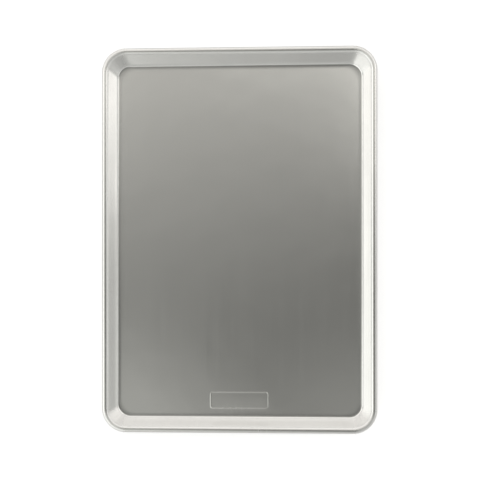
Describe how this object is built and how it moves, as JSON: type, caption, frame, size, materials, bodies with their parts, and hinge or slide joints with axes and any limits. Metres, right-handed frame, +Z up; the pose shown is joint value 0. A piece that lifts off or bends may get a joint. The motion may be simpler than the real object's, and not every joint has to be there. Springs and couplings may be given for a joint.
{
  "type": "sheet pan",
  "caption": "Shallow rectangular half-sheet baking pan in satin aluminium, with sloped walls, rounded corners and a rim rolled round a stiffening wire.",
  "frame": {"origin": "centre of the floor's underside, on the surface that the pan stands on", "axes": "+X across the pan, +Y along its length away from the stamped frame, +Z up out of the tray"},
  "size_m": [0.325, 0.455, 0.027],
  "materials": {
    "aluminium_sheet": "natural satin mill finish with fine grain along the length",
    "galvanised_wire": "dull galvanised"
  },
  "bodies": {
    "root": {"pan_sheet": "aluminium_sheet", "rim_wire": "galvanised_wire"}
  },
  "joints": []
}
